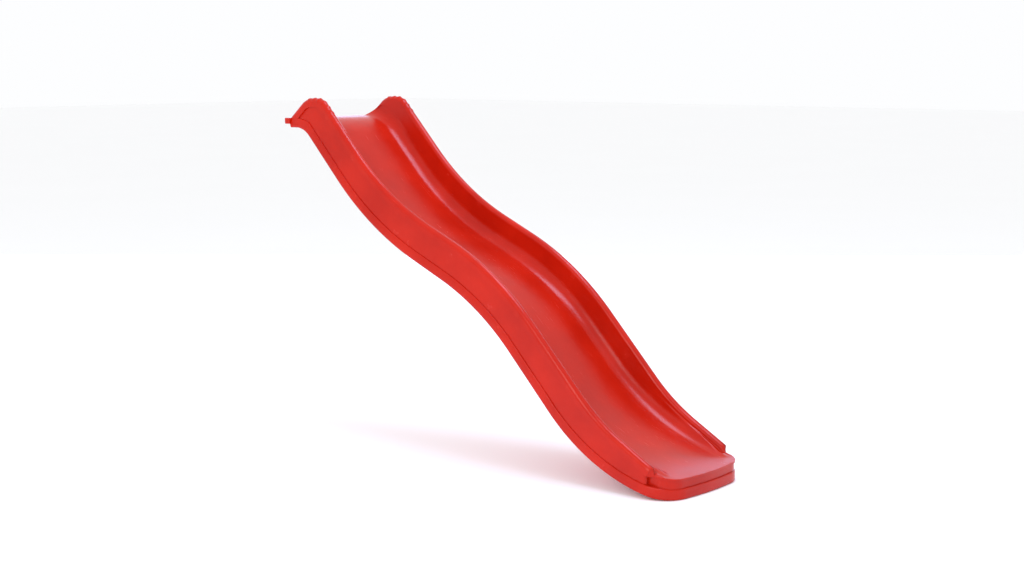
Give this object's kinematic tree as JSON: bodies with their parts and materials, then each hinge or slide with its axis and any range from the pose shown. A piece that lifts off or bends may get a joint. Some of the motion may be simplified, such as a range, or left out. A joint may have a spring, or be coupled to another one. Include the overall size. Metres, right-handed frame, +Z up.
{
  "type": "wave slide",
  "caption": "Double-walled plastic wave slide with rolled rims, ribbed hand grips at the top, a deck flange and a rounded exit lip.",
  "frame": {"origin": "on the ground under the middle of the slide's length and width", "axes": "+X down the slide, +Y across it, +Z up from the ground"},
  "size_m": [1.8566, 0.48, 1.3035],
  "materials": {
    "red_plastic": "gloss",
    "zinc_steel": "satin"
  },
  "bodies": {
    "root": {"chute_shell": "red_plastic", "under_shell": "red_plastic", "seam_screws": "zinc_steel", "screw_washers": "zinc_steel", "screw_caps": "red_plastic", "left_deck_sleeve": "zinc_steel", "right_deck_sleeve": "zinc_steel"}
  },
  "joints": []
}
